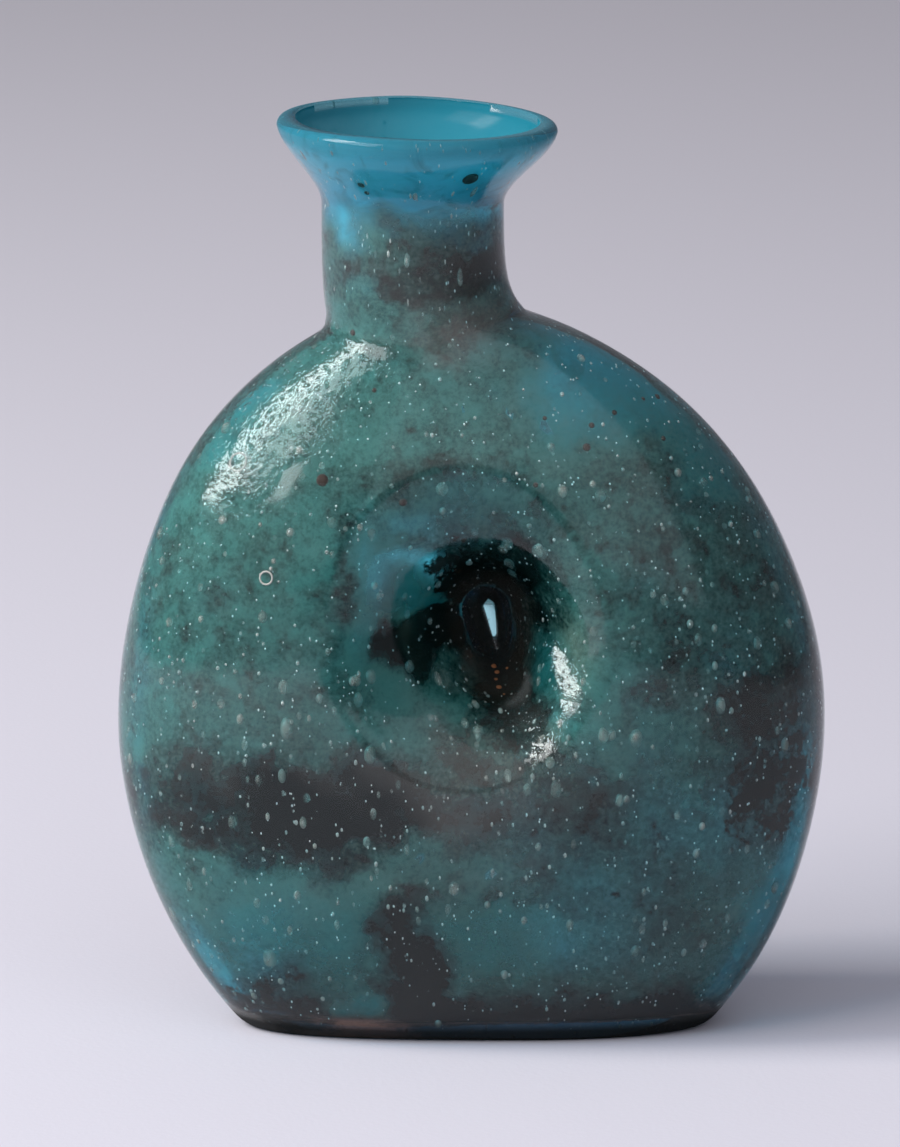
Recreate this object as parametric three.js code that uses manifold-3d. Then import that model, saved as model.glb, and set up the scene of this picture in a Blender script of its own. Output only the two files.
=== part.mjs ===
// A free-blown glass perfume flask: a hollow oval bottle, flattened front to back, whose two faces
// are pinched in until their walls fuse, so that the hollow runs round the pinch like a ring.
// Millimetres, +Z up, the wide face towards -Y. The origin is under the middle of the body.
import * as THREE from "three";
import { mergeVertices } from "three/addons/utils/BufferGeometryUtils.js";
import Module from "manifold-3d";

const wasm = await Module();
wasm.setup();

// The body: an oval in front view, cut off flat by the foot
const BODY_WIDTH = 64.6;
const BODY_DEPTH = 28.5;
const WIDEST_AT = 28; // height of the widest line
const CROWN_HEIGHT = 39.3; // from the widest line up to where the oval would close
const CROWN_FULLNESS = 2; // of the front outline above the widest line: 2 is an ellipse, more is squarer
const BELLY_FULLNESS = 1.87; // and below it
const SIDE_FULLNESS = 2.15; // of the side outline
const FACE_FULLNESS = 2.5; // of the plan: more is flatter in front and squarer at the edge
const SHOULDER_DRIFT = -2.4; // how far the oval has slumped sideways at its top
const FOOT_DRIFT = 0.45; // and at its foot

// The foot: a flat oval ring round a shallow kick
const FOOT_WIDTH = 40.8;
const FOOT_DEPTH = 13.2;
const FOOT_RING = 4; // breadth of the standing ring, along the width
const FOOT_CORNER = 1; // the rounding between the foot and the side
const KICK_DEPTH = 0.8;

// The neck and mouth
const HEIGHT = 84.2;
const NECK_WIDTH = 16.4;
const NECK_OFFSET = -5.35; // the neck stands left of the middle
const NECK_FOOT_AT = 66.5; // where the neck meets the body
const NECK_SPREAD = { left: -0.4, right: 2.1 }; // how far it widens there, towards each side
const SPREAD_HEIGHT = 2; // over which the spreading fades
const FLARE_HEIGHT = 7.7; // from the straight neck up to the rim
const RIM_WIDTH = 25.4;
const RIM_OFFSET = -4.95;
const RIM_TILT = 0.014; // the rim falls to the right
const LIP_RADIUS = 0.8; // the outer edge of the fire-rounded lip
const FRONT_JOIN = 0.35; // how softly the shoulder runs into the neck, in front view
const SIDE_JOIN = 1.6; // and in side view

// The walls
const WALL = 2.2;
const BASE_WALL = 1.8;
const LIP_WALL = 1.7;

// The pinch: a wide oval bowl with a steep funnel in it, down to a line where the walls are one
const PINCH_X = 1.9;
const PINCH_AT = 37.5; // height of the middle of the pinch line
const PINCH_LENGTH = 3.6;
const PINCH_LEAN = 0.24; // radians, top end to the left
const PINCH_GLASS = 1.2; // thickness of the fused glass there
const FUNNEL_RADIUS = 4;
const BOWL_X = -1.1;
const BOWL_AT = 40;
const BOWL_WIDTH = 26;
const BOWL_HEIGHT = 31;
const BOWL_SHARE = 0.5; // share of the half depth that the bowl takes
const BOWL_SOFTNESS = 2; // more runs out more softly at its edge
const CREASE_LENGTH = 9.5; // a groove that runs on down and to the right, on the front
const CREASE_LEAN = 0.5; // radians from straight down
const CREASE_WIDTH = 1.9;
const CREASE_SHARE = 0.5;

// How finely the surfaces are faceted
const OUTER_FACETS = { round: 56, foot: 4, corner: 3, low: 7, pinch: 17, high: 4, shoulder: 7, neck: 9, lip: 3 };
const INNER_FACETS = { round: 44, foot: 4, corner: 3, low: 4, pinch: 13, high: 3, shoulder: 5, neck: 7, lip: 0 };
const FACET_SHIFT = 0.3; // moves facets from the narrow edges to the wide faces
const NECK_BEND = { below: 5, above: 4 }; // the stretch round the neck's foot with the closest rows
const MOUTH_OVERSHOOT = 2; // how far the hollow's cutter stands out of the mouth

const flareFoot = HEIGHT - FLARE_HEIGHT;
const footGrowth = 1 + FOOT_CORNER / (FOOT_WIDTH / 2); // where the sides reach the height of the foot
const pinchMiddle = new THREE.Vector2(PINCH_X, PINCH_AT);
const pinchLine = new THREE.Vector2(Math.sin(PINCH_LEAN), -Math.cos(PINCH_LEAN));
const pinchTop = pinchMiddle.clone().addScaledVector(pinchLine, -PINCH_LENGTH / 2);
const pinchFoot = pinchMiddle.clone().addScaledVector(pinchLine, PINCH_LENGTH / 2);
const creaseEnd = new THREE.Vector2(Math.sin(CREASE_LEAN), -Math.cos(CREASE_LEAN))
  .multiplyScalar(CREASE_LENGTH)
  .add(pinchFoot);
const { smoothstep, lerp, clamp } = THREE.MathUtils;

// The larger of two lengths, with a soft corner where they cross
function softMax(a, b, softness) {
  return Math.max(a, b) + softness * Math.log(1 + Math.exp(-Math.abs(a - b) / softness));
}

// Half the body's width or depth at a height, less a wall: an arch that closes at the crown, stands
// at its full size at the widest line and comes in to the foot. Past the crown it is negative.
function bodyHalf(size, footSize, fullness, z, wall) {
  const footShare = (footSize * footGrowth) / size;
  const belly = WIDEST_AT / (1 - footShare ** fullness) ** (1 / fullness);
  const reach = (z > WIDEST_AT ? CROWN_HEIGHT : belly) - wall;
  const rest = 1 - (Math.abs(z - WIDEST_AT) / reach) ** fullness;
  return (size / 2 - wall) * Math.sign(rest) * Math.abs(rest) ** (1 / fullness);
}

// How far the body has slumped sideways at a height
function drift(z) {
  if (z > WIDEST_AT) return SHOULDER_DRIFT * ((z - WIDEST_AT) / CROWN_HEIGHT) ** 2;
  return FOOT_DRIFT * (1 - z / WIDEST_AT) ** 2;
}

// From 0 on the straight neck to 1 at the rim
function flare(z) {
  return smoothstep(z, flareFoot, HEIGHT - LIP_RADIUS / 2);
}

function neckRadius(z, wall) {
  return lerp(NECK_WIDTH, RIM_WIDTH, flare(z)) / 2 - wall;
}

// How far the outside, less a wall, reaches to the left or the right at a height
function reachTo(side, z, wall) {
  const sign = side === "left" ? -1 : 1;
  const fullness = z > WIDEST_AT ? CROWN_FULLNESS : BELLY_FULLNESS;
  const body = bodyHalf(BODY_WIDTH, FOOT_WIDTH, fullness, z, wall) + sign * drift(z);
  const spread = NECK_SPREAD[side] * Math.exp(-Math.abs(z - NECK_FOOT_AT) / SPREAD_HEIGHT);
  const offset = sign * lerp(NECK_OFFSET, RIM_OFFSET, flare(z));
  return softMax(body, neckRadius(z, wall) + offset + spread, FRONT_JOIN);
}

function halfWidth(z, wall) {
  return (reachTo("left", z, wall) + reachTo("right", z, wall)) / 2;
}

function middle(z, wall) {
  return (reachTo("right", z, wall) - reachTo("left", z, wall)) / 2;
}

function halfDepth(z, wall) {
  const body = bodyHalf(BODY_DEPTH, FOOT_DEPTH, SIDE_FULLNESS, z, wall);
  return z > WIDEST_AT ? softMax(body, neckRadius(z, wall), SIDE_JOIN) : body;
}

// The wall thins towards the lip
function wallAt(z) {
  return lerp(WALL, LIP_WALL, smoothstep(z, flareFoot, HEIGHT));
}

// Distance from a point to a stretch between two points, and how far along it the nearest place is
function alongStretch(point, start, end) {
  const way = end.clone().sub(start);
  const share = clamp(point.clone().sub(start).dot(way) / way.lengthSq(), 0, 1);
  const near = start.clone().addScaledVector(way, share);
  return { share, distance: near.distanceTo(point) };
}

// How far a face is pinched in at x, z: 0 is not at all and 1 is the fused glass on the pinch line.
// On the inner side of the wall the funnel is wider by the wall.
function pinchShare(x, z, wall, creased) {
  const point = new THREE.Vector2(x, z);
  const across = (x - BOWL_X) / (BOWL_WIDTH / 2);
  const up = (z - BOWL_AT) / (BOWL_HEIGHT / 2);
  const bowl = BOWL_SHARE * Math.max(0, 1 - across ** 2 - up ** 2) ** BOWL_SOFTNESS;
  const line = alongStretch(point, pinchTop, pinchFoot);
  const funnel = Math.exp(-((Math.max(0, line.distance - wall) / FUNNEL_RADIUS) ** 2));
  const groove = alongStretch(point, pinchFoot, creaseEnd);
  const depth = creased ? CREASE_SHARE * (1 - groove.share) : 0;
  const crease = depth * Math.exp(-((Math.max(0, groove.distance - wall) / CREASE_WIDTH) ** 2));
  return 1 - (1 - bowl) * (1 - funnel) * (1 - crease);
}

// Evenly spaced numbers after `from`, up to and with `to`
function steps(from, to, count) {
  return Array.from({ length: count }, (_, i) => lerp(from, to, (i + 1) / count));
}

// The half outline of the outside, from the middle of the foot up to the middle of the rim
function outerProfile(facets) {
  const ring = FOOT_WIDTH / 2 - FOOT_RING;
  const kick = steps(0, 1, facets.foot).map(
    (s) => new THREE.Vector2(ring * s, KICK_DEPTH * (1 - s ** 2)),
  );
  const corner = new THREE.QuadraticBezierCurve(
    new THREE.Vector2(FOOT_WIDTH / 2, 0),
    new THREE.Vector2(halfWidth(0, 0), 0),
    new THREE.Vector2(halfWidth(FOOT_CORNER, 0), FOOT_CORNER),
  ).getPoints(facets.corner);
  const lipAt = HEIGHT - LIP_RADIUS;
  const side = heights(FOOT_CORNER, lipAt, facets).map((z) => new THREE.Vector2(halfWidth(z, 0), z));
  const lip = steps(0, Math.PI / 2, facets.lip).map((a) => {
    const inset = LIP_RADIUS * (1 - Math.cos(a));
    return new THREE.Vector2(halfWidth(lipAt, 0) - inset, lipAt + LIP_RADIUS * Math.sin(a));
  });
  return [new THREE.Vector2(0, KICK_DEPTH), ...kick, ...corner, ...side, ...lip, new THREE.Vector2(0, HEIGHT)];
}

// The same for the hollow, from the inside of the base up past the mouth
function innerProfile(facets) {
  const floor = BASE_WALL + KICK_DEPTH;
  const bend = floor + FOOT_CORNER;
  const flat = halfWidth(floor, WALL) - FOOT_CORNER;
  const base = steps(0, flat, facets.foot).map((r) => new THREE.Vector2(r, floor));
  const corner = new THREE.QuadraticBezierCurve(
    new THREE.Vector2(flat, floor),
    new THREE.Vector2(halfWidth(floor, WALL), floor),
    new THREE.Vector2(halfWidth(bend, WALL), bend),
  )
    .getPoints(facets.corner)
    .slice(1);
  const top = HEIGHT + MOUTH_OVERSHOOT;
  const side = heights(bend, top, facets).map((z) => new THREE.Vector2(halfWidth(z, wallAt(z)), z));
  return [new THREE.Vector2(0, floor), ...base, ...corner, ...side, new THREE.Vector2(0, top)];
}

// Heights of the facet rows up the side, closest together beside the pinch and at the neck
function heights(from, to, facets) {
  const low = BOWL_AT - BOWL_HEIGHT / 2;
  const high = BOWL_AT + BOWL_HEIGHT / 2;
  const shoulder = NECK_FOOT_AT - NECK_BEND.below;
  const neck = NECK_FOOT_AT + NECK_BEND.above;
  return [
    ...steps(from, low, facets.low),
    ...steps(low, high, facets.pinch),
    ...steps(high, shoulder, facets.high),
    ...steps(shoulder, neck, facets.shoulder),
    ...steps(neck, to, facets.neck),
  ];
}

// A closed surface: the outline blown round, flattened to the depth, slumped sideways, then pinched
// in at the front, the back or both. A pinched face ends at `bottom` from the middle plane.
function blownSolid(profile, facets, wall, pinches) {
  const blown = new THREE.LatheGeometry(profile, facets.round).rotateX(Math.PI / 2);
  const place = blown.getAttribute("position");
  for (let i = 0; i < place.count; i++) {
    const z = place.getZ(i);
    const radius = Math.hypot(place.getX(i), place.getY(i));
    const even = Math.atan2(place.getY(i), place.getX(i));
    const angle = even + FACET_SHIFT * Math.sin(2 * even);
    const body = smoothstep(NECK_FOOT_AT - z, 0, CROWN_HEIGHT);
    const power = 2 / lerp(2, FACE_FULLNESS, body);
    const cos = Math.cos(angle);
    const sin = Math.sin(angle);
    const flattening = halfDepth(z, wall) / halfWidth(z, wall);
    const x = middle(z, wall) + radius * Math.sign(cos) * Math.abs(cos) ** power;
    let y = radius * flattening * Math.sign(sin) * Math.abs(sin) ** power;
    for (const { side, bottom, creased } of pinches) {
      if (y * side > 0) y = lerp(y, side * bottom, pinchShare(x, z, wall, creased));
    }
    const fall = RIM_TILT * (x - RIM_OFFSET) * smoothstep(z, flareFoot, HEIGHT - LIP_RADIUS);
    place.setXYZ(i, x, y, z - fall);
  }
  return solidOf(blown);
}

// Welds a geometry and drops the faces without area at its poles
function solidOf(geometry) {
  geometry.deleteAttribute("normal");
  geometry.deleteAttribute("uv");
  const welded = mergeVertices(geometry, 1e-4);
  const corners = welded.index.array;
  const kept = [];
  for (let i = 0; i < corners.length; i += 3) {
    const [a, b, c] = corners.slice(i, i + 3);
    if (a !== b && b !== c && c !== a) kept.push(a, b, c);
  }
  return new wasm.Manifold(
    new wasm.Mesh({
      numProp: 3,
      vertProperties: new Float32Array(welded.getAttribute("position").array),
      triVerts: new Uint32Array(kept),
    }),
  );
}

function geometryOf(solid) {
  const mesh = solid.getMesh();
  const geometry = new THREE.BufferGeometry();
  geometry.setAttribute("position", new THREE.BufferAttribute(mesh.vertProperties, 3));
  geometry.setIndex(new THREE.BufferAttribute(mesh.triVerts, 1));
  geometry.computeVertexNormals();
  return geometry;
}

// The hollow is what lies behind the front wall and also before the back wall. Round the pinch line
// the two walls have met, so nothing is left of it there.
function hollow() {
  const profile = innerProfile(INNER_FACETS);
  const past = -(WALL - PINCH_GLASS / 2);
  const behindFront = blownSolid(profile, INNER_FACETS, WALL, [{ side: -1, bottom: past, creased: true }]);
  const beforeBack = blownSolid(profile, INNER_FACETS, WALL, [{ side: 1, bottom: past, creased: false }]);
  return behindFront.intersect(beforeBack);
}

function flask() {
  const outside = blownSolid(outerProfile(OUTER_FACETS), OUTER_FACETS, 0, [
    { side: -1, bottom: PINCH_GLASS / 2, creased: true },
    { side: 1, bottom: PINCH_GLASS / 2, creased: false },
  ]);
  const glass = new THREE.MeshStandardMaterial({ color: 0x1f6f78, roughness: 0.18, metalness: 0 });
  const mesh = new THREE.Mesh(geometryOf(outside.subtract(hollow())), glass);
  mesh.name = "glass_flask";
  return mesh;
}

const group = new THREE.Group();
group.add(flask());

export default group;
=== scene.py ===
# Turquoise glass perfume flask, free-blown and pinched through, with bubbles in the wall and earth inside
import bpy
import bmesh
import random
from bisect import bisect
from functools import lru_cache
from itertools import accumulate
from math import atan2, cos, degrees, exp, hypot, log, pi, radians, sin
from mathutils import Matrix, Vector, noise
from mathutils.bvhtree import BVHTree


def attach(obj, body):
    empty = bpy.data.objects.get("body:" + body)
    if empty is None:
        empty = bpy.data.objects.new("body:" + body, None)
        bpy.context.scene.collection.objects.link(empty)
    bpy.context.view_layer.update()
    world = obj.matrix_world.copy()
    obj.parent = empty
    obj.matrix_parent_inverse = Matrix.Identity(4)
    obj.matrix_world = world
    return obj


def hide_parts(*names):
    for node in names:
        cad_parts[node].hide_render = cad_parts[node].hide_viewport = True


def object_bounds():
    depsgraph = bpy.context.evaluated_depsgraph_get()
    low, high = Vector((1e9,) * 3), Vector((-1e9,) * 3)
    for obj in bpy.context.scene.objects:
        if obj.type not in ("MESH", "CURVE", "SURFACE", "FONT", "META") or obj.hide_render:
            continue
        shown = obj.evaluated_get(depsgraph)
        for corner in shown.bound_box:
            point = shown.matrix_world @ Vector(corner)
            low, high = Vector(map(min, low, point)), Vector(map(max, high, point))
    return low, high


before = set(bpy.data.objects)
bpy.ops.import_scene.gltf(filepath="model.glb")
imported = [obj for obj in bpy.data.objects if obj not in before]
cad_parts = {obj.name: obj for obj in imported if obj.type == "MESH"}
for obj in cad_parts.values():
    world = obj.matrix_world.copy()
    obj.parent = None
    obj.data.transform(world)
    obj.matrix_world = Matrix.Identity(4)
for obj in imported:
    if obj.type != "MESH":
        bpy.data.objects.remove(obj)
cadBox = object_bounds()
mm = 0.001  # shapes are worked out in millimetres and scaled once, at the end
cadSize = (cadBox[1] - cadBox[0]) / mm

photo = {
    "width": 900, "height": 1147,
    "middle": 472,          # the column of the flask's middle line
    "distance": 650,        # camera to the flask, mm
    "elevation": 12.8,      # degrees above the horizon
    "aimHeight": 42.3,      # the height at the middle row
    "lens": 224, "sensor": 36,
}
focal = photo["height"] * photo["lens"] / photo["sensor"]  # in the photograph's pixels
pixel = photo["distance"] / focal                          # what one pixel spans at the flask, mm
tilt = radians(photo["elevation"])

flask = {
    "bodyWidth": cadSize.x, "bodyDepth": cadSize.y,
    "widestAt": 28, "crownHeight": 39.3,
    "crownFullness": 2, "bellyFullness": 1.87, "sideFullness": 2.15, "faceFullness": 2.5,
    "shoulderDrift": -2.4, "footDrift": 0.45,
    "footWidth": 40.8, "footDepth": 13.2, "footRing": 4, "footCorner": 1, "kick": 0.8,
    "height": 84.2, "neckWidth": 16.4, "neckOffset": -5.35, "neckFootAt": 66.5,
    "spreadLeft": -0.4, "spreadRight": 2.1, "spreadHeight": 2,
    "flareHeight": 7.7, "rimWidth": 25.4, "rimOffset": -4.95, "rimTilt": 0.014, "lipRadius": 0.8,
    "frontJoin": 0.35, "sideJoin": 1.6,
    "wall": 2.2, "baseWall": 1.8, "lipWall": 1.7,
    "facetShift": 0.3, "overshoot": 2,
    "faceFrom": 1, "faceTo": 83,            # the heights between which a place on the face is looked up
    "waveHeight": 0.16, "waveLength": 13,   # slow unevenness of the blown wall
    "lipWave": 0.22, "lipWaveAt": 2.3,      # how much the rim rises, and where round it
}

pinch = {
    "x": 1.8, "z": 38.0, "length": 2.6, "lean": 0.24, "glass": 1.2, "funnel": 4.4,
    "bowlX": -1.1, "bowlZ": 40, "bowlWidth": 26, "bowlHeight": 31, "bowlShare": 0.5, "bowlSoftness": 2,
    "creaseLength": 9.5, "creaseLean": 0.5, "creaseWidth": 1.9, "creaseShare": 0.5,
    "innerReach": 0.9,                      # how close the hollow comes to the pinch line
    "stepDepth": 0.32, "stepRadius": 11.9, "stepWidth": 0.35,  # a crisp edge at the bowl's lower left
    "stepFrom": 205, "stepTo": 262,         # degrees round the bowl's middle
    "thumbX": 7.7, "thumbZ": 36.5,          # a flat mark that catches the light
    "thumbWidth": 2.6, "thumbHeight": 3.9, "thumbTurn": -0.6, "thumbTilt": 0.66,
}

facets = {
    "outer": {"round": 208, "foot": 10, "corner": 5, "side": 150, "lip": 7},
    "inner": {"round": 176, "foot": 10, "corner": 5, "side": 120, "lip": 0},
}


def lerp(a, b, share):
    return a + (b - a) * share


def smooth(value, low, high):
    t = min(1, max(0, (value - low) / (high - low)))
    return t * t * (3 - 2 * t)


def softMax(a, b, softness):
    return max(a, b) + softness * log(1 + exp(-abs(a - b) / softness))


# The flask's form, the same as the solid's
flareFoot = flask["height"] - flask["flareHeight"]
footGrowth = 1 + flask["footCorner"] / (flask["footWidth"] / 2)
pinchLine = Vector((sin(pinch["lean"]), -cos(pinch["lean"])))
pinchTop = Vector((pinch["x"], pinch["z"])) - pinchLine * pinch["length"] / 2
pinchFoot = pinchTop + pinchLine * pinch["length"]
creaseEnd = pinchFoot + pinch["creaseLength"] * Vector((sin(pinch["creaseLean"]), -cos(pinch["creaseLean"])))


def bodyHalf(size, footSize, fullness, z, wall):
    footShare = footSize * footGrowth / size
    belly = flask["widestAt"] / (1 - footShare ** fullness) ** (1 / fullness)
    reach = (flask["crownHeight"] if z > flask["widestAt"] else belly) - wall
    rest = 1 - (abs(z - flask["widestAt"]) / reach) ** fullness
    return (size / 2 - wall) * (1 if rest > 0 else -1) * abs(rest) ** (1 / fullness)


def drift(z):
    if z > flask["widestAt"]:
        return flask["shoulderDrift"] * ((z - flask["widestAt"]) / flask["crownHeight"]) ** 2
    return flask["footDrift"] * (1 - z / flask["widestAt"]) ** 2


def flare(z):
    return smooth(z, flareFoot, flask["height"] - flask["lipRadius"] / 2)


def neckRadius(z, wall):
    return lerp(flask["neckWidth"], flask["rimWidth"], flare(z)) / 2 - wall


def reachTo(sign, z, wall):
    fullness = flask["crownFullness"] if z > flask["widestAt"] else flask["bellyFullness"]
    body = bodyHalf(flask["bodyWidth"], flask["footWidth"], fullness, z, wall) + sign * drift(z)
    spread = flask["spreadRight"] if sign > 0 else flask["spreadLeft"]
    spread *= exp(-abs(z - flask["neckFootAt"]) / flask["spreadHeight"])
    offset = sign * lerp(flask["neckOffset"], flask["rimOffset"], flare(z))
    return softMax(body, neckRadius(z, wall) + offset + spread, flask["frontJoin"])


@lru_cache(maxsize=None)
def section(z, wall):
    # half width, half depth, middle and plan power of the flask at a height, less a wall
    left, right = reachTo(-1, z, wall), reachTo(1, z, wall)
    depth = bodyHalf(flask["bodyDepth"], flask["footDepth"], flask["sideFullness"], z, wall)
    if z > flask["widestAt"]:
        depth = softMax(depth, neckRadius(z, wall), flask["sideJoin"])
    body = smooth(flask["neckFootAt"] - z, 0, flask["crownHeight"])
    power = 2 / lerp(2, flask["faceFullness"], body)
    return (left + right) / 2, depth, (right - left) / 2, power


def frontAt(x, z):
    # the depth, in mm, of the undimpled front face
    width, depth, middle, power = section(min(flask["faceTo"], max(flask["faceFrom"], round(z, 1))), 0)
    aside = min(1, abs(x - middle) / width)
    return -depth * (1 - aside ** (2 / power)) ** (power / 2)


def wallAt(z):
    return lerp(flask["wall"], flask["lipWall"], smooth(z, flareFoot, flask["height"]))


def alongStretch(point, start, end):
    way = end - start
    share = min(1, max(0, (point - start).dot(way) / way.length_squared))
    return share, (point - start - way * share).length


def pinchShare(x, z, wall, creased):
    point = Vector((x, z))
    across = (x - pinch["bowlX"]) / (pinch["bowlWidth"] / 2)
    up = (z - pinch["bowlZ"]) / (pinch["bowlHeight"] / 2)
    bowl = pinch["bowlShare"] * max(0, 1 - across ** 2 - up ** 2) ** pinch["bowlSoftness"]
    away = alongStretch(point, pinchTop, pinchFoot)[1]
    inset = pinch["innerReach"] if wall else 0
    funnel = exp(-(max(0, away - inset) / pinch["funnel"]) ** 2)
    share, aside = alongStretch(point, pinchFoot, creaseEnd)
    depth = pinch["creaseShare"] * (1 - share) if creased else 0
    crease = depth * exp(-(max(0, aside - wall) / pinch["creaseWidth"]) ** 2)
    return 1 - (1 - bowl) * (1 - funnel) * (1 - crease)


def bowlStep(x, z):
    # how deep, in mm, the front face steps down inside the crisp edge of the bowl
    away = hypot(x - pinch["bowlX"], z - pinch["bowlZ"])
    turn = degrees(atan2(z - pinch["bowlZ"], x - pinch["bowlX"])) % 360
    middle = (pinch["stepFrom"] + pinch["stepTo"]) / 2
    reach = (pinch["stepTo"] - pinch["stepFrom"]) / 2
    ends = 1 - smooth(abs(turn - middle) / reach, 0.5, 1)
    radius, fade = pinch["stepRadius"], pinch["stepWidth"]
    inside = 1 - smooth(away, radius - fade, radius + fade)
    return pinch["stepDepth"] * ends * inside * smooth(away, radius / 2, radius)


@lru_cache(maxsize=None)
def thumbDepth():
    x, z = pinch["thumbX"], pinch["thumbZ"]
    return lerp(frontAt(x, z), -pinch["glass"] / 2, pinchShare(x, z, 0, True))


def thumbed(x, z, y):
    # flattens a small part of the front dimple's right slope, and turns it up to the left
    across, up = x - pinch["thumbX"], z - pinch["thumbZ"]
    share = exp(-(across / pinch["thumbWidth"]) ** 2 - (up / pinch["thumbHeight"]) ** 2)
    return lerp(y, thumbDepth() + pinch["thumbTurn"] * across + pinch["thumbTilt"] * up, share)


def signedPower(value, power):
    return (1 if value > 0 else -1) * abs(value) ** power


def blow(point, wall, pinches):
    # where a point of the round blown shape goes when it is flattened, slumped and pinched
    z = point.z
    width, depth, middle, power = section(round(z, 4), wall)
    even = atan2(point.y, point.x)
    angle = even + flask["facetShift"] * sin(2 * even)
    radius = hypot(point.x, point.y)
    x = middle + radius * signedPower(cos(angle), power)
    y = radius * depth / width * signedPower(sin(angle), power)
    for side, bottom, creased in pinches:
        if y * side > 0:
            y = lerp(y, side * bottom, pinchShare(x, z, wall, creased))
            if creased:
                y -= side * bowlStep(x, z)
            if creased and not wall:
                y = thumbed(x, z, y)
    fall = flask["rimTilt"] * (x - flask["rimOffset"]) - flask["lipWave"] * cos(even - flask["lipWaveAt"])
    atLip = smooth(z, flareFoot, flask["height"] - flask["lipRadius"])
    return Vector((x, y, z - fall * atLip))


def steps(start, end, count):
    return [lerp(start, end, (i + 1) / count) for i in range(count)]


def curvePoints(a, b, c, count):
    return [a.lerp(b, i / count).lerp(b.lerp(c, i / count), i / count) for i in range(count + 1)]


def at(radius, z):
    return Vector((radius, 0, z))


def outerProfile(count):
    ring = flask["footWidth"] / 2 - flask["footRing"]
    corner = flask["footCorner"]
    lipAt = flask["height"] - flask["lipRadius"]
    lipOut = section(lipAt, 0)[0] - flask["lipRadius"]
    points = [at(0, flask["kick"])]
    points += [at(ring * s, flask["kick"] * (1 - s ** 2)) for s in steps(0, 1, count["foot"])]
    points += curvePoints(at(flask["footWidth"] / 2, 0), at(section(0, 0)[0], 0),
                          at(section(corner, 0)[0], corner), count["corner"])
    points += [at(section(z, 0)[0], z) for z in steps(corner, lipAt, count["side"])]
    points += [at(lipOut + flask["lipRadius"] * cos(a), lipAt + flask["lipRadius"] * sin(a))
               for a in steps(0, pi / 2, count["lip"])]
    return points + [at(0, flask["height"])]


def innerProfile(count):
    floor = flask["baseWall"] + flask["kick"]
    bend = floor + flask["footCorner"]
    wall = flask["wall"]
    flat = section(floor, wall)[0] - flask["footCorner"]
    top = flask["height"] + flask["overshoot"]
    points = [at(0, floor)] + [at(r, floor) for r in steps(0, flat, count["foot"])]
    points += curvePoints(at(flat, floor), at(section(floor, wall)[0], floor),
                          at(section(bend, wall)[0], bend), count["corner"])[1:]
    points += [at(section(z, wallAt(z))[0], z) for z in steps(bend, top, count["side"])]
    return points + [at(0, top)]


def spin(bm, profile, count):
    # the profile turned round Z, line by line: the spin operator leaves its faces in no fixed order
    lines = []
    for step in range(count):
        turn = Matrix.Rotation(2 * pi * step / count, 3, "Z")
        lines.append([bm.verts.new(turn @ Vector(point)) for point in profile])
    for line, after in zip(lines, lines[1:] + lines[:1]):
        for corners in zip(line, after, after[1:], line[1:]):
            bm.faces.new(corners)
    return [vert for line in lines for vert in line]


def blownMesh(name, profile, count, wall, pinches, wave):
    # the profile spun round, blown into shape and made uneven, as a closed mesh in metres
    bm = bmesh.new()
    spin(bm, profile, count["round"])
    bmesh.ops.remove_doubles(bm, verts=bm.verts, dist=1e-4)
    for vert in bm.verts:
        vert.co = blow(vert.co, wall, pinches)
    bmesh.ops.recalc_face_normals(bm, faces=bm.faces)
    bm.normal_update()
    shifts = [(vert, wave(vert.co) * vert.normal) for vert in bm.verts]
    for vert, shift in shifts:
        vert.co += shift
    bmesh.ops.scale(bm, vec=(mm, mm, mm), verts=bm.verts)
    mesh = bpy.data.meshes.new(name)
    bm.to_mesh(mesh)
    bm.free()
    return mesh


def newObject(name, mesh):
    piece = bpy.data.objects.new(name, mesh)
    bpy.context.scene.collection.objects.link(piece)
    return piece


def booleanOf(target, other, operation):
    # cuts or joins two closed objects, and deletes the second
    step = target.modifiers.new("cut", "BOOLEAN")
    step.operation, step.object, step.solver = operation, other, "MANIFOLD"
    shape = bpy.data.meshes.new_from_object(target.evaluated_get(bpy.context.evaluated_depsgraph_get()))
    target.modifiers.clear()
    target.data = shape
    bpy.data.objects.remove(other)


# Shader tools: one class wraps a socket, and one method makes any node
class Flow:
    def __init__(self, tree, socket):
        self.tree, self.socket = tree, socket

    def math(self, operation, *values):
        return self.tree.node("ShaderNodeMath", {"operation": operation}, dict(enumerate(values)))

    def __add__(self, other):
        return self.math("ADD", self, other)

    def __radd__(self, other):
        return self.math("ADD", other, self)

    def __sub__(self, other):
        return self.math("SUBTRACT", self, other)

    def __rsub__(self, other):
        return self.math("SUBTRACT", other, self)

    def __mul__(self, other):
        return self.math("MULTIPLY", self, other)

    def __rmul__(self, other):
        return self.math("MULTIPLY", other, self)

    def most(self, other):
        return self.math("MAXIMUM", self, other)

    def size(self):
        return self.math("ABSOLUTE", self)

    def root(self):
        return self.math("SQRT", self)

    def out(self, index):
        return Flow(self.tree, self.socket.node.outputs[index])

    def smooth(self, low, high, start=0.0, end=1.0):
        return self.tree.node("ShaderNodeMapRange", {"interpolation_type": "SMOOTHSTEP"}, {
            "Value": self, "From Min": low, "From Max": high, "To Min": start, "To Max": end})


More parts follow.
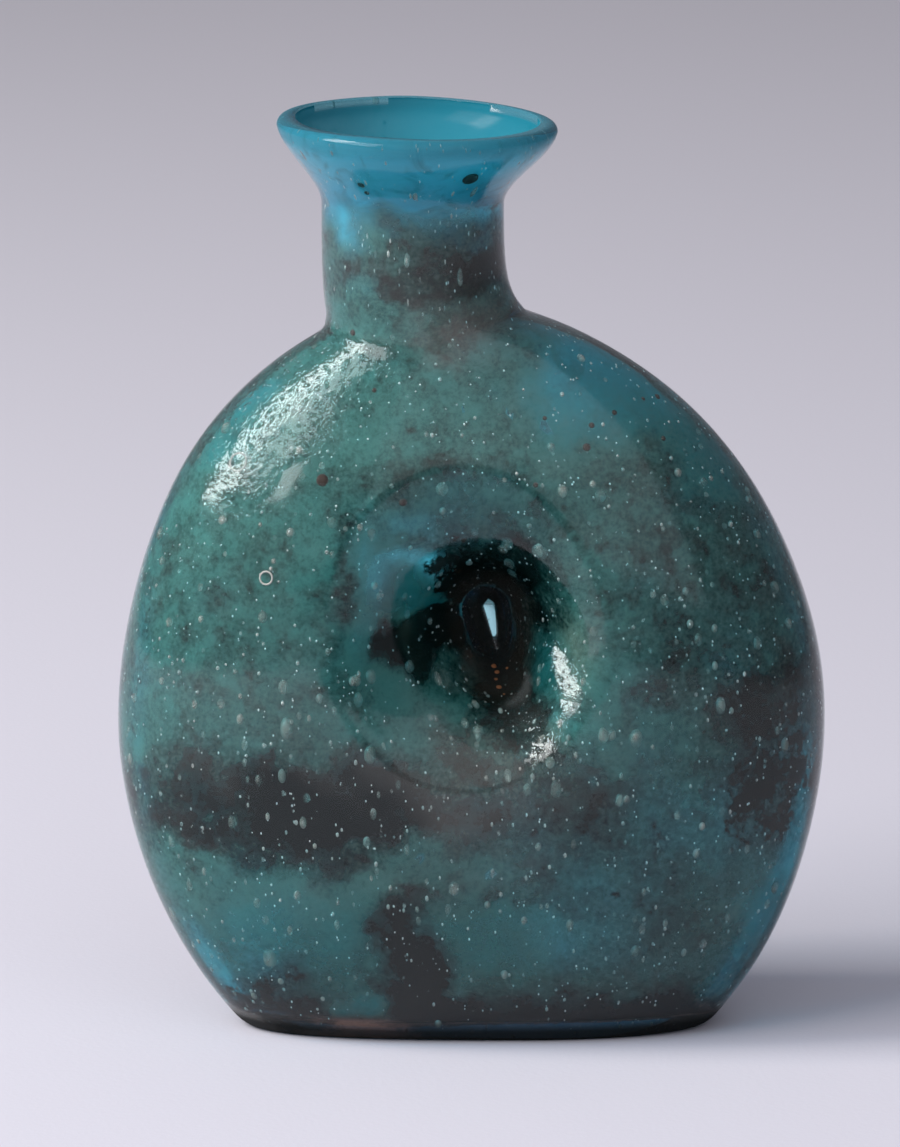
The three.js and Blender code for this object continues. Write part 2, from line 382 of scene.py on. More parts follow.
class Tree:
    def __init__(self, material):
        material.use_nodes = True
        self.nodes, self.links = material.node_tree.nodes, material.node_tree.links
        self.nodes.clear()

    def node(self, kind, settings=None, inputs=None, output=0):
        made = self.nodes.new(kind)
        for name, value in (settings or {}).items():
            setattr(made, name, value)
        for name, value in (inputs or {}).items():
            if isinstance(value, Flow):
                self.links.new(value.socket, made.inputs[name])
            else:
                made.inputs[name].default_value = value
        return Flow(self, made.outputs[output])

    def coords(self):
        return self.node("ShaderNodeTexCoord", output="Object")

    def noise(self, vector, size, detail=3.0, roughness=0.5, distortion=0.0):
        return self.node("ShaderNodeTexNoise", None, {
            "Vector": vector, "Scale": 1 / (size * mm), "Detail": detail,
            "Roughness": roughness, "Distortion": distortion})

    def attribute(self, name):
        return self.node("ShaderNodeAttribute", {"attribute_name": name}, output="Fac")

    def mixColor(self, share, a, b):
        return self.node("ShaderNodeMix", {"data_type": "RGBA"}, {0: share, 6: a, 7: b}, output=2)

    def mixShader(self, share, a, b):
        return self.node("ShaderNodeMixShader", None, {0: share, 1: a, 2: b})

    def bump(self, height, distance, strength=1.0):
        return self.node("ShaderNodeBump", None, {
            "Height": height, "Distance": distance * mm, "Strength": strength})

    def principled(self, **inputs):
        named = {name.replace("_", " "): value for name, value in inputs.items()}
        return self.node("ShaderNodeBsdfPrincipled", None, named)

    def finish(self, surface, volume=None):
        out = self.nodes.new("ShaderNodeOutputMaterial")
        self.links.new(surface.socket, out.inputs["Surface"])
        if volume:
            self.links.new(volume.socket, out.inputs["Volume"])


# Camera, lights and floor
def onFront(column, row):
    # the x and z, in mm, of what the photograph shows at a pixel of the flask's front wall
    up = photo["height"] / 2 - row
    x, z, y = 0, 0, 0
    for _ in range(4):
        far = photo["distance"] + y * cos(tilt)
        rise = (up * far - focal * y * sin(tilt)) / (focal * cos(tilt) + up * sin(tilt))
        x = (column - photo["middle"]) * (far - rise * sin(tilt)) / focal
        z = photo["aimHeight"] + rise
        y = frontAt(x, z)
    return x, z


def makeCamera():
    data = bpy.data.cameras.new("camera")
    data.lens, data.sensor_fit = photo["lens"], "VERTICAL"
    data.sensor_width = data.sensor_height = photo["sensor"]
    camera = bpy.data.objects.new("camera", data)
    bpy.context.scene.collection.objects.link(camera)
    aside = (photo["width"] / 2 - photo["middle"]) * pixel
    camera.location = Vector((aside, -photo["distance"] * cos(tilt),
                              photo["aimHeight"] + photo["distance"] * sin(tilt))) * mm
    camera.rotation_euler = (pi / 2 - tilt, 0, 0)
    bpy.context.scene.camera = camera


light = {
    "key": {"turn": 10, "rise": 37, "size": (285, 570), "power": 7.6, "color": (1.0, 0.985, 0.965)},
    "side": {"turn": 35, "rise": 38, "size": (520, 620), "power": 5.4, "color": (1.0, 0.97, 0.97)},
    "fill": {"turn": 105, "rise": 40, "size": (1200, 1200), "power": 2.7, "color": (0.93, 0.95, 1.0)},
    "away": 1000,           # of each lamp from the flask, mm
    "world": {"color": (0.66, 0.65, 0.73), "strength": 0.345},
    "bounces": 18, "diffuse": 4,
}

floor = {
    "half": 6000, "color": (0.688, 0.679, 0.757), "far": (0.672, 0.658, 0.71),
    "nearAt": 40, "farAt": 700,  # painted light falloff: the floor darkens from its near colour to its far one between these distances from the middle, mm
    "grain": (0.6, 2), "grainDepth": 0.02, "roughness": 0.9, "specular": 0.1,
}


def makeLights():
    for name in ("key", "side", "fill"):  # turned from the left towards the front, and raised
        spec = light[name]
        data = bpy.data.lights.new(name, "AREA")
        data.shape, data.size, data.size_y = "RECTANGLE", spec["size"][0] * mm, spec["size"][1] * mm
        data.energy, data.color = spec["power"], spec["color"]
        lamp = bpy.data.objects.new(name, data)
        bpy.context.scene.collection.objects.link(lamp)
        turn, rise = radians(spec["turn"]), radians(spec["rise"])
        aim = Vector((cos(turn) * cos(rise), sin(turn) * cos(rise), -sin(rise)))
        lamp.location = Vector((0, 0, photo["aimHeight"])) * mm - aim * light["away"] * mm
        lamp.rotation_mode = "QUATERNION"
        lamp.rotation_quaternion = aim.to_track_quat("-Z", "Y")
    world = bpy.data.worlds.new("studio")
    bpy.context.scene.world = world
    tree = Tree(world)
    made = tree.node("ShaderNodeBackground", None, {
        "Color": (*light["world"]["color"], 1), "Strength": light["world"]["strength"]})
    out = tree.nodes.new("ShaderNodeOutputWorld")
    tree.links.new(made.socket, out.inputs["Surface"])


def makeFloor():
    bm = bmesh.new()
    bmesh.ops.create_grid(bm, x_segments=1, y_segments=1, size=floor["half"] * mm)
    mesh = bpy.data.meshes.new("floor")
    bm.to_mesh(mesh)
    bm.free()
    piece = newObject("floor", mesh)
    material = bpy.data.materials.new("pale_paper")
    tree = Tree(material)
    # painted light falloff: the floor's colour darkens with distance from the flask
    away = tree.node("ShaderNodeVectorMath", {"operation": "LENGTH"}, {0: tree.coords()}, output="Value")
    share = tree.node("ShaderNodeMapRange", None, {
        "Value": away, "From Min": floor["nearAt"] * mm, "From Max": floor["farAt"] * mm})
    grain = tree.noise(tree.coords(), *floor["grain"])
    color = tree.mixColor(share, (*floor["color"], 1), (*floor["far"], 1))
    tree.finish(tree.principled(Base_Color=color, Roughness=floor["roughness"],
                                Specular_IOR_Level=floor["specular"],
                                Normal=tree.bump(grain, floor["grainDepth"])))
    mesh.materials.append(material)


# The glass, and the earth on its inner wall
glass = {
    "absorption": (0.03, 0.83, 0.90), "density": 590,  # per metre
    "ior": 1.5, "specular": 0.21, "roughness": 0.085, "innerRoughness": 0.18,
    "dust": (0.40, 0.385, 0.36), "dustShare": 0.17,  # weathering of the outer face
    "milk": (0.17, 0.64, 0.77), "milkDark": (0.055, 0.35, 0.42), "milkShare": 0.86,  # clean, cloudy glass
    "milkLow": (0.08, 0.32, 0.28), "milkFrom": 54, "milkTo": 72,                   # greener in the body
    "throat": (0.01, 0.20, 0.275), "throatFrom": 74, "throatTo": 77,               # painted shade on the back of the mouth
    "lipFrom": 81.9, "lipTo": 83.2, "lipShare": 0.55, "lipColor": (0.035, 0.20, 0.27),
    "film": (0.46, 0.275, 0.205), "filmDark": (0.045, 0.038, 0.028), "filmShare": 0.97,
    "crust": (0.011, 0.0085, 0.006), "crustShare": 0.985, "blackened": (0.008, 0.010, 0.010),
    "dirtRoughness": 0.95, "dirtSpecular": 0.04, "shadow": (0.9, 0.9, 0.9),
    "pitDepth": 0.13, "pitSpacing": 0.62,
}

# Noises: size in mm, detail, roughness and distortion. A fade goes from its first value to its second.
weather = {
    "ragged": (2.4, 8, 0.66), "grain": (0.5, 4, 0.7), "cloud": (6, 4, 0.55), "swirl": (3.4, 4, 0.5, 1.6),
    "crust": (0.57, 0.93), "crustRagged": 1.5, "crustGrain": 1.0,
    "film": (0.0, 0.9), "filmCloud": 0.5, "filmGrain": 0.5,
    "dust": (0.0, 1.2), "dustRagged": 0.5, "milk": (0.1, 0.9), "milkCloud": 0.5, "dark": (0.45, 0.75),
    "murk": (0.0, 0.8), "murkRagged": 1.3, "murkGrain": 1.0,  # darker places in the film
    "thinDust": 0.02, "thinLip": 0.05,      # above this much, the layer has its own colour
    "rearFrom": -3, "rearTo": 2,            # the back of the mouth begins, mm
    "pit": (0.16, 0.42), "dent": (0.7, 2), "dents": 0.9, "scratch": (0.33, 1), "scratches": 0.5,
}

# Patches: column and row in the photograph, half width and half height in its pixels, amount.
# A negative amount takes away.
earth = {
    "start": 0.27, "back": 0.5,
    "neck": (418, 272, 84, 38, 0.33),
    "neckTongue": (478, 216, 34, 22, 0.36),
    "neckDark": (474, 272, 34, 30, 0.5),
    "neckLow": (430, 300, 50, 12, 0.2),
    "throat": (455, 335, 46, 26, 0.3),
    "rightMottle": (700, 560, 120, 130, 0.26),
    "rightBand": (700, 690, 90, 40, 0.16),
    "right": (778, 752, 62, 92, 0.6),
    "lowerRight": (650, 880, 190, 120, 0.33),
    "underBowl": (470, 800, 160, 50, 0.28),
    "lowerLeft": (250, 822, 120, 52, 0.6),
    "lowerLeftIn": (335, 812, 80, 52, 0.5),
    "lowerLeftTop": (200, 770, 60, 30, 0.2),
    "footLeft": (275, 1000, 60, 40, 0.6),
    "footTongue": (408, 940, 30, 50, 0.75),
    "footLeftRun": (425, 1000, 46, 44, 0.8),
    "foot": (575, 1030, 145, 50, 1.0),
    "funnel": (482, 624, 76, 80, 0.9),
    "funnelLeft": (425, 652, 62, 34, 0.75),
    "creaseTail": (512, 712, 34, 56, 0.65),
    # painted shade: more earth on the bowl's upper rim and shelf, which face down
    "bowlRim": (440, 480, 90, 20, 0.12),
    "shelf": (480, 520, 90, 34, 0.1),
    "leftFace": (200, 640, 90, 120, 0.1),
    "leftMid": (300, 700, 60, 50, 0.08),
    "haze": (440, 800, 80, 34, 0.2),
    "bowlLeft": (335, 590, 16, 80, 0.3),
    "cleanBowl": (385, 692, 30, 20, -0.25),
    "cleanFoot": (490, 945, 56, 36, -0.6),
    "cleanFootLeft": (360, 1018, 36, 14, -0.8),
    "cleanLeft": (300, 920, 70, 40, -0.4),
    "cleanRight": (760, 905, 60, 60, -0.3),
    "cleanRightShoulder": (620, 370, 90, 50, -0.3),
    "openWedge": (404, 604, 26, 18, -1.4),
    "openWedgeTip": (436, 624, 22, 13, -1.4),
    "openStreak": (358, 600, 18, 76, -0.5),
}

film = {
    "start": 0.75, "back": 0.75,
    "neckTop": (415, 134, 200, 92, -0.95),
    "neckEdgeLeft": (306, 268, 17, 70, -0.45),
    "neckEdgeRight": (512, 258, 18, 60, -0.5),
    "face": (400, 450, 260, 170, 0.15),
    "lowerRight": (690, 880, 190, 150, -0.2),
    "rightShoulder": (630, 375, 100, 60, -0.3),
    "neckLow": (405, 315, 70, 25, 0.2),
    "leftShoulder": (250, 370, 80, 40, -0.25),
    # painted shade: less film on the bowl's shelf, which faces down, so it reads darker
    "shelf": (480, 515, 100, 40, -0.3),
    "low": (400, 970, 250, 70, -0.25),
    "openWedge": (408, 588, 42, 26, -0.7),
    "openStreak": (362, 600, 22, 80, -0.25),
}

dust = {
    "start": 0.42, "back": 0.5,
    "belowBowl": (460, 792, 90, 44, 0.25),
    "face": (380, 560, 250, 260, 0.08),
    "throat": (455, 340, 50, 34, 0.5),
    # painted shade: less pale dust on the bowl's shelf, which faces down, so it reads darker
    "shelf": (480, 512, 100, 40, -0.4),
    "bowlLeft": (375, 620, 60, 110, -0.5),
    "lowerLeft": (290, 820, 130, 55, -0.35),
    "foot": (500, 990, 300, 90, -0.6),
    "lowerRight": (720, 880, 170, 160, -0.4),
    "rightSide": (740, 600, 120, 160, -0.1),
    "funnel": (490, 620, 75, 95, -0.8),
    "neckTop": (415, 150, 160, 80, -0.3),
}

milk = {
    "start": 0.08, "back": 0.1,
    "neck": (415, 134, 200, 97, 1.2),
    "neckEdgeLeft": (306, 268, 17, 70, 0.6),
    "neckEdgeRight": (512, 258, 18, 60, 0.7),
    "leftShoulder": (225, 400, 60, 60, 0.5),
    "rightShoulder": (620, 370, 110, 60, 0.6),
    "rightShoulderLow": (705, 450, 56, 60, 0.45),
    "cleanFoot": (490, 945, 56, 36, 0.3),
    "cleanLeft": (300, 920, 80, 40, 0.25),
    "cleanFootLeft": (360, 1018, 36, 14, 0.5),
    "rightLow": (780, 905, 40, 60, 0.5),
    "openWedge": (404, 604, 24, 16, 0.6),
    "openWedgeTip": (436, 624, 20, 12, 0.6),
    "openStreak": (356, 600, 14, 70, 0.25),
}

pitted = {
    "start": 0.02, "back": 0.03,
    "shoulderTop": (345, 362, 36, 26, 0.6),
    "shoulder": (292, 405, 44, 40, 0.8),
    "shoulderLow": (248, 460, 40, 44, 0.8),
    "dimple": (564, 672, 26, 36, 0.35),
    "dimpleFoot": (545, 748, 26, 26, 0.9),
}


# Painted shade: patches of dark earth in an arch round the upper rim of the bowl, darkening the bowl's upper
# wall, which faces down
shadeArch = {"column": 462, "row": 600, "wide": 121, "high": 132, "from": 178, "to": 340, "count": 12,
        "halfWidth": 17, "halfHeight": 14, "amount": 0.17}
for i in range(shadeArch["count"]):
    turn = radians(lerp(shadeArch["from"], shadeArch["to"], i / (shadeArch["count"] - 1)))
    earth[f"arch{i}"] = (shadeArch["column"] + shadeArch["wide"] * cos(turn), shadeArch["row"] + shadeArch["high"] * sin(turn),
                         shadeArch["halfWidth"], shadeArch["halfHeight"], shadeArch["amount"])

edge = {
    "solid": 0.45, "end": 1.4,      # where a patch starts to fade, and has faded out, in half sizes
    # how far its edge strays, and over what length, mm
    "wide": (2.4, 5), "fineAcross": (1.1, 1.6), "fineUp": (1.1, 1.8),
    "back": (0.3, 11),              # the same for the amounts on the back wall
    "most": 1.5, "neckFade": 5,
}


def placed(patches, word=""):
    # the patches whose names start with a word, with their middles and half sizes in mm
    names = [name for name in patches if name not in ("start", "back") and name.startswith(word)]
    return [(*onFront(column, row), wide * pixel, high * pixel, amount)
            for column, row, wide, high, amount in (patches[name] for name in names)]


def patchesAt(start, spots, x, z):
    amount = start
    for middleX, middleZ, wide, high, strength in spots:
        across, up = (x - middleX) / wide, (z - middleZ) / high
        if abs(across) < edge["end"] and abs(up) < edge["end"]:
            amount += strength * (1 - smooth(hypot(across, up), edge["solid"], edge["end"]))
    return amount


def stray(point, kind, start=(0, 0, 0)):
    reach, length = edge[kind]
    return reach * noise.noise(point / length + Vector(start))


def stain(mesh):
    # writes how much of each layer lies at each point of the glass
    layers = {"earth": earth, "film": film, "dust": dust, "milk": milk, "pitted": pitted}
    spots = {name: placed(patches) for name, patches in layers.items()}
    openings = {name: placed(patches, "open") for name, patches in layers.items()}  # in both walls
    values = {name: [] for name in layers}
    for vert in mesh.vertices:
        point = vert.co / mm
        x = point.x + stray(point, "wide") + stray(point, "fineAcross")
        z = point.z + stray(point, "wide", (7, 3, 1)) + stray(point, "fineUp")
        below = smooth(flask["neckFootAt"] + 2 - point.z, 0, edge["neckFade"])
        for name, patches in layers.items():
            if point.y < 0 or point.z > flask["neckFootAt"]:
                amount = patchesAt(patches["start"], spots[name], x, z)
            else:
                amount = patchesAt(patches["back"], openings[name], x, z)
                amount += stray(point, "back", (3, 0, 5)) * below
            values[name].append(min(edge["most"], max(0, amount)))
    for name in layers:
        mesh.attributes.new(name, "FLOAT", "POINT").data.foreach_set("value", values[name])


def makeFlask():
    wall, half = flask["wall"], pinch["glass"] / 2
    past = half - wall

    def wave(seed):
        def shift(co):
            return flask["waveHeight"] * noise.noise(co / flask["waveLength"] + Vector((seed, 0, 0)))
        return shift

    outer, inner = facets["outer"], facets["inner"]
    outside = newObject("glass_vessel", blownMesh(
        "outside", outerProfile(outer), outer, 0, [(-1, half, True), (1, half, False)], wave(0)))
    front = newObject("behind_front", blownMesh(
        "behind_front", innerProfile(inner), inner, wall, [(-1, past, True)], wave(9)))
    back = newObject("before_back", blownMesh(
        "before_back", innerProfile(inner), inner, wall, [(1, past, False)], wave(9)))
    for piece, value in ((outside, 0.0), (front, 1.0), (back, 1.0)):
        layer = piece.data.attributes.new("inside", "FLOAT", "POINT")
        layer.data.foreach_set("value", [value] * len(piece.data.vertices))
    skin = outside.data  # the outer face as blown, before the hollow is cut
    booleanOf(front, back, "INTERSECT")
    booleanOf(outside, front, "DIFFERENCE")
    mesh = outside.data
    stain(mesh)
    mesh.shade_smooth()
    mesh.materials.clear()
    mesh.materials.append(glassMaterial())
    print("glass:", len(mesh.polygons), "faces,", len(mesh.attributes), "attributes")
    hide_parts("glass_flask")
    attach(outside, "root")
    return outside, skin


wedge = {
    "top": (489, 599), "tip": (498, 654), "half": 0.82,  # the clean slit in the photograph, half width in mm
    "topFade": (-0.5, 0.6), "sideFade": (-0.05, 0.12),
    "blackFrom": -0.1, "blackTo": 4.9, "depth": 9,       # how far the near-black cover spreads, and out from the middle
    "ragged": (1.2, 5, 0.65), "strays": 3.0, "cover": 0.98,
    "soleFrom": 1.0, "soleTo": 2.9, "soleShare": 0.97,   # the near-black band round the foot, between these heights
}


def blackenPinchAndFoot(tree, coords):
    # near-black cover down in the pinch, round a clean wedge, and round the foot
    def spot(column, row):
        rise = (photo["height"] / 2 - row) * pixel / cos(tilt)
        return Vector(((column - photo["middle"]) * pixel, 0, photo["aimHeight"] + rise))

    top, tip = spot(*wedge["top"]), spot(*wedge["tip"])
    way = (tip - top).normalized()
    aside = Vector((-way.z, 0, way.x))
    split = tree.node("ShaderNodeSeparateXYZ", None, {0: coords})
    x, y, z = split, split.out(1), split.out(2)
    down = (x * way.x + z * way.z) * (1 / mm) - top.dot(way)
    across = ((x * aside.x + z * aside.z) * (1 / mm) - top.dot(aside)).size()
    length = (tip - top).length
    width = down.smooth(*wedge["topFade"]) * (1 - down * (1 / length)).most(0.0) * wedge["half"]
    clear = (width - across).smooth(*wedge["sideFade"])
    past = (down - length / 2).size()
    beyond = (past - length / 2).most(0.0)
    ragged = tree.noise(coords, *wedge["ragged"])
    away = (across * across + beyond * beyond).root() + (ragged - 0.5) * wedge["strays"]
    near = 1 - away.smooth(wedge["blackFrom"], wedge["blackTo"])
    deep = 1 - (y * y).smooth((wedge["depth"] * mm / 2) ** 2, (wedge["depth"] * mm) ** 2)
    sole = 1 - z.smooth(wedge["soleFrom"] * mm, wedge["soleTo"] * mm)
    return (near * (1 - clear) * deep).most(sole * wedge["soleShare"]) * wedge["cover"]


def glassMaterial():
    material = bpy.data.materials.new("weathered_blown_glass")
    tree = Tree(material)
    coords = tree.coords()
    inside, outside = tree.attribute("inside"), 1 - tree.attribute("inside")
    ragged = tree.noise(coords, *weather["ragged"]) - 0.5
    grain = tree.noise(coords, *weather["grain"]) - 0.5
    cloud = tree.noise(coords, *weather["cloud"]) - 0.5

    level = tree.attribute("earth") + ragged * weather["crustRagged"] + grain * weather["crustGrain"]
    crust = level.smooth(*weather["crust"]) * inside
    thin = tree.attribute("film") + cloud * weather["filmCloud"] + grain * weather["filmGrain"]
    filmed = thin.smooth(*weather["film"]) * inside * glass["filmShare"]
    pale = tree.attribute("dust") + ragged * weather["dustRagged"]
    dusty = pale.smooth(*weather["dust"]) * outside * glass["dustShare"]

    # Clean glass is cloudy, with darker swirls, and so is the lip
    swirl = tree.noise(coords, *weather["swirl"])
    milky = (tree.attribute("milk") + cloud * weather["milkCloud"]).smooth(*weather["milk"]) * inside
    height = tree.node("ShaderNodeSeparateXYZ", None, {0: coords}, output=2)
    lip = height.smooth(glass["lipFrom"] * mm, glass["lipTo"] * mm) * outside * glass["lipShare"]

    # Near-black cover down in the pinch, open only at the wedge where the two walls are fused
    blackened = blackenPinchAndFoot(tree, coords)
    cover = (crust * glass["crustShare"]).most(filmed).most(dusty).most(blackened)
    cover = cover.most(milky * glass["milkShare"]).most(lip)

    murk = ragged * weather["murkRagged"] + grain * weather["murkGrain"] + tree.attribute("earth")
    tint = tree.mixColor(murk.smooth(*weather["murk"]), (*glass["film"], 1), (*glass["filmDark"], 1))
    back = tree.node("ShaderNodeSeparateXYZ", None, {0: coords}, output=1)
    rear = back.smooth(weather["rearFrom"] * mm, weather["rearTo"] * mm)
    # painted shade: the inner wall at the back of the mouth takes the darker throat colour
    shade = rear * inside * height.smooth(glass["throatFrom"] * mm, glass["throatTo"] * mm)
    cloudy = tree.mixColor(swirl.smooth(*weather["dark"]), (*glass["milk"], 1), (*glass["milkDark"], 1))
    cloudy = tree.mixColor(shade, cloudy, (*glass["throat"], 1))
    upper = height.smooth(glass["milkFrom"] * mm, glass["milkTo"] * mm)
    cloudy = tree.mixColor(upper, (*glass["milkLow"], 1), cloudy)
    tint = tree.mixColor(milky, tint, cloudy)
    tint = tree.mixColor(crust, tint, (*glass["crust"], 1))
    tint = tree.mixColor(dusty.smooth(0.0, weather["thinDust"]), tint, (*glass["dust"], 1))
    tint = tree.mixColor(lip.smooth(0.0, weather["thinLip"]), tint, (*glass["lipColor"], 1))
    tint = tree.mixColor(blackened, tint, (*glass["blackened"], 1))

    cell = tree.node("ShaderNodeTexVoronoi", None, {
        "Vector": coords, "Scale": 1 / (glass["pitSpacing"] * mm), "Randomness": 1.0}, output="Distance")
    pits = cell.smooth(*weather["pit"]) + tree.noise(coords, *weather["dent"]) * weather["dents"]
    pits = pits + tree.noise(coords, *weather["scratch"]) * weather["scratches"]
    normal = tree.bump(pits * tree.attribute("pitted") * outside, glass["pitDepth"])
    polish = inside * (glass["innerRoughness"] - glass["roughness"]) + glass["roughness"]
    clear = tree.principled(Base_Color=(1, 1, 1, 1), Roughness=polish, IOR=glass["ior"],
                            Specular_IOR_Level=glass["specular"], Transmission_Weight=1.0, Normal=normal)
    shadow = tree.node("ShaderNodeLightPath", output="Is Shadow Ray")
    lit = tree.node("ShaderNodeBsdfTransparent", None, {"Color": (*glass["shadow"], 1)})
    dirt = tree.principled(Base_Color=tint, Roughness=glass["dirtRoughness"],
                           Specular_IOR_Level=glass["dirtSpecular"])
    absorb = tree.node("ShaderNodeVolumeAbsorption", None, {
        "Color": (*glass["absorption"], 1), "Density": glass["density"]})
    tree.finish(tree.mixShader(cover, tree.mixShader(shadow, clear, lit), dirt), absorb)
    return material


# What is sealed in the wall: bubbles, stones and grains
bubbles = {
    "seed": 4,
    # how many, least and most length in mm, the lowest and highest that most of them lie
    "fine": (4200, 0.12, 0.26, 0, 84),
    "small": (1300, 0.26, 0.48, 0, 84),
    "middling": (480, 0.48, 0.9, 3, 60),
    "large": (90, 0.85, 1.35, 8, 52),
    "strays": 0.25, "slant": 1.5,  # the share kept outside those heights, and how far the short ones prevail
    "stretchLow": 1.9, "stretchHigh": 1.15, "stretchNeck": 3.4, "stretchVaries": (0.4, 1.2),
    "stretchFrom": 15, "stretchTo": 60, "coarseUnder": 0.6,
    "depth": (0.03, 0.4),   # under the surface, mm
    # the bubbles are real; their pale colours are painted reflection of the light inside them, and the
    # finest, nearly white, are painted glints
    "color": {"fine": (0.95, 0.92, 0.90), "small": (0.70, 0.62, 0.58),
              "middling": (0.50, 0.43, 0.38), "large": (0.42, 0.36, 0.31)},
    "alpha": {"fine": (0.1, 1), "small": (0.08, 0.85), "middling": (0.12, 0.65), "large": (0.2, 0.6)},
    "patch": 1.3,           # how far apart bubbles differ, mm
    # column and row in the photograph, and length in mm
    "seen": [(285, 730, 1.6), (637, 740, 1.5), (574, 695, 1.4), (268, 962, 1.7), (563, 491, 1.1),
             (602, 495, 1.2), (360, 700, 1.2), (282, 688, 1.1), (556, 790, 1.3), (700, 640, 1.0)],
}

stones = {
    "color": (0.03, 0.02, 0.015), "depth": 0.2,
    # column and row in the photograph, and breadth in mm
    "seen": [(322, 480, 1.15), (403, 503, 0.75), (464, 541, 0.6), (536, 485, 0.5), (587, 447, 0.75),
             (592, 425, 0.55), (615, 412, 0.5), (658, 396, 0.6), (644, 398, 0.4), (664, 438, 0.5),
             (545, 418, 0.4), (374, 390, 0.45), (352, 333, 0.6), (385, 122, 0.35)],
}

speck = {"color": (0.02, 0.03, 0.026), "depth": 1.35,
         "seen": [(473, 184, 1.5), (358, 190, 0.7), (363, 197, 0.5)]}

rust = {"color": (0.22, 0.075, 0.022), "depth": 0.02,
        "seen": [(494, 666, 0.55), (497, 672, 0.5), (496, 679, 0.4), (499, 687, 0.55), (507, 668, 0.3),
                 (504, 694, 0.25)]}

# The stones, specks and rust are knobbly, by shares of their own size
grains = {"knobs": 0.12, "knobSpacing": 0.5, "flatness": 0.5, "roughness": 0.8}

# Bubbles that broke at the surface: column, row, radius and thickness of the ring in mm
rings = {"color": (0.62, 0.60, 0.55), "depth": 0.03, "sides": 8, "turns": 24,
         "seen": [(266, 578, 0.58, 0.09), (238, 462, 0.85, 0.1)]}

# The look of all that is sealed in, darker in patches and fainter in places
cloudiness = {"roughness": 0.35, "patch": (5, 2), "patchFade": (0.35, 0.65), "darker": 0.65,
              "alphaFade": (0.32, 0.72)}


def onVessel(tree, column, row):
    # where the camera's line through a pixel meets the glass, and the normal there
    camera = bpy.context.scene.camera
    way = Vector((column - photo["width"] / 2, photo["height"] / 2 - row, -focal)).normalized()
    place, normal, _, _ = tree.ray_cast(camera.location, camera.rotation_euler.to_matrix() @ way)
    return place, normal


def setIn(place, normal, depth, half):
    # a unit shape's place under the surface, its Y along the normal, with its half sizes in mm
    turn = normal.to_track_quat("Y", "Z").to_matrix().to_4x4()
    spot = Matrix.Translation(place - normal * depth * mm)
    return spot @ turn @ Matrix.Scale(mm, 4) @ Matrix.Diagonal((*half, 1))


def scatter(skin):
    # random places on the outer face, each with its normal, spread evenly over it
    def overMouth(face):
        # the fan of triangles that the hollow cuts away
        return len(face.vertices) == 3 and face.center.z / mm > flask["neckFootAt"]

    faces = [face for face in skin.polygons if not overMouth(face)]
    reach = list(accumulate(face.area for face in faces))
    draw = random.Random(bubbles["seed"])
    while True:
        face = faces[bisect(reach, draw.random() * reach[-1])]
        weights = [draw.random() for _ in face.vertices]
        parts = (skin.vertices[v].co * w for v, w in zip(face.vertices, weights))
        yield sum(parts, Vector()) / sum(weights), face.normal.copy(), draw


def blowBubble(bm, place, normal, size, draw):
    height = place.z / mm
    if height > flask["neckFootAt"]:
        stretch = bubbles["stretchNeck"]
    else:
        up = smooth(height, bubbles["stretchFrom"], bubbles["stretchTo"])
        stretch = lerp(bubbles["stretchLow"], bubbles["stretchHigh"], up)
    stretch = lerp(1, stretch, draw.uniform(*bubbles["stretchVaries"]))
    thin, tall = size / 2 / stretch ** 0.5, size / 2 * stretch ** 0.5
    spot = setIn(place, normal, draw.uniform(*bubbles["depth"]) + thin, (thin, thin, tall))
    finer = size >= bubbles["coarseUnder"]
    bmesh.ops.create_icosphere(bm, subdivisions=2 if finer else 1, radius=1, matrix=spot)


def sealed(name, bm, color, roughness=cloudiness["roughness"], alphas=None):
    # makes the finished piece of what is in the wall
    mesh = bpy.data.meshes.new(name)
    bm.to_mesh(mesh)
    bm.free()
    mesh.shade_smooth()
    piece = newObject(name, mesh)
    material = bpy.data.materials.new(name)
    tree = Tree(material)
    patchy = tree.noise(tree.coords(), *cloudiness["patch"]).smooth(*cloudiness["patchFade"])
    darker = tuple(cloudiness["darker"] * part for part in color)
    looks = {"Base_Color": tree.mixColor(patchy, (*color, 1), (*darker, 1)), "Roughness": roughness}
    if alphas:  # some bubbles show far more than others
        varied = tree.noise(tree.coords(), bubbles["patch"], 0)
        looks["Alpha"] = varied.smooth(*cloudiness["alphaFade"], *alphas)
    tree.finish(tree.principled(**looks))
    mesh.materials.append(material)
    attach(piece, "root")
    print(name + ":", len(mesh.polygons), "faces")


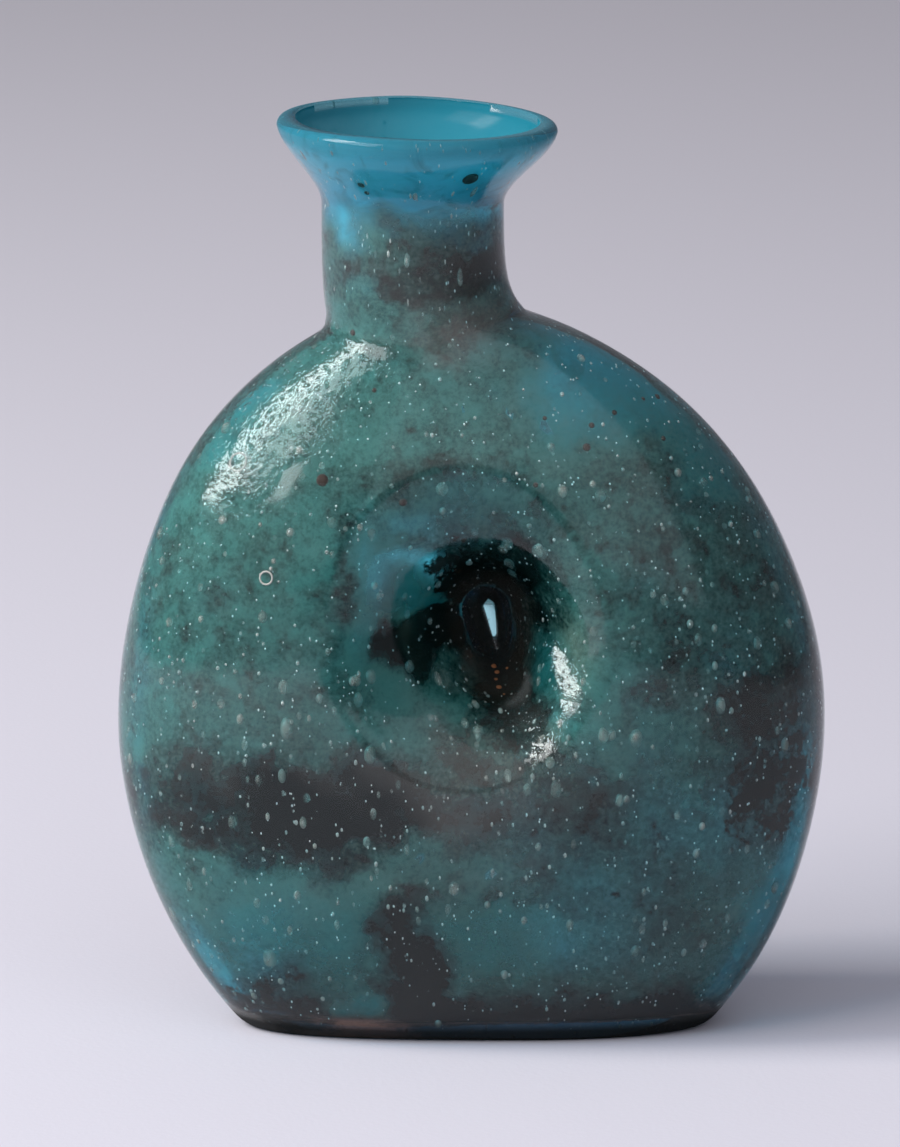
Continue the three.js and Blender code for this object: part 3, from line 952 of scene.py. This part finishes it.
def makeBubbles(skin, tree):
    places = scatter(skin)
    for name in ("fine", "small", "middling", "large"):
        count, least, most, low, high = bubbles[name]
        bm = bmesh.new()
        made = 0
        while made < count:
            place, normal, draw = next(places)
            if not low < place.z / mm < high and draw.random() > bubbles["strays"]:
                continue
            blowBubble(bm, place, normal, lerp(least, most, draw.random() ** bubbles["slant"]), draw)
            made += 1
        if name == "large":
            for column, row, size in bubbles["seen"]:
                blowBubble(bm, *onVessel(tree, column, row), size, draw)
        sealed("seed_bubbles_" + name, bm, bubbles["color"][name], alphas=bubbles["alpha"][name])


def makeGrains(name, spec, tree):
    bm = bmesh.new()
    for column, row, size in spec["seen"]:
        place, normal = onVessel(tree, column, row)
        spot = setIn(place, normal, spec["depth"], (size / 2, size / 2 * grains["flatness"], size / 2))
        made = bmesh.ops.create_icosphere(bm, subdivisions=2, radius=1, matrix=spot)
        for vert in made["verts"]:
            knob = noise.noise(vert.co / mm / size / grains["knobSpacing"])
            vert.co += normal * grains["knobs"] * size * mm * knob
    sealed(name, bm, spec["color"], grains["roughness"])


def makeRings(tree):
    bm = bmesh.new()
    for column, row, radius, thick in rings["seen"]:
        place, normal = onVessel(tree, column, row)
        around = [0] + steps(0, 2 * pi, rings["sides"])
        new = spin(bm, [(radius + thick * cos(a), 0, thick * sin(a)) for a in around], rings["turns"])
        bmesh.ops.rotate(bm, verts=new, cent=(0, 0, 0), matrix=Matrix.Rotation(pi / 2, 3, "X"))
        bmesh.ops.transform(bm, matrix=setIn(place, normal, rings["depth"], (1, 1, 1)), verts=new)
    bmesh.ops.remove_doubles(bm, verts=bm.verts, dist=1e-6)
    bmesh.ops.recalc_face_normals(bm, faces=bm.faces)
    sealed("broken_bubbles", bm, rings["color"])


makeCamera()
makeLights()
makeFloor()
print("stage made")
vessel, skin = makeFlask()
print("flask made")
vesselTree = BVHTree.FromObject(vessel, bpy.context.evaluated_depsgraph_get())
makeBubbles(skin, vesselTree)
makeGrains("stones", stones, vesselTree)
makeGrains("neck_specks", speck, vesselTree)
makeGrains("rust_grains", rust, vesselTree)
makeRings(vesselTree)

scene = bpy.context.scene
scene.cycles.use_denoising = True
scene.cycles.max_bounces = light["bounces"]
scene.cycles.transmission_bounces = light["bounces"]
scene.cycles.transparent_max_bounces = light["bounces"]
scene.cycles.diffuse_bounces = light["diffuse"]
scene.view_settings.view_transform = "Standard"
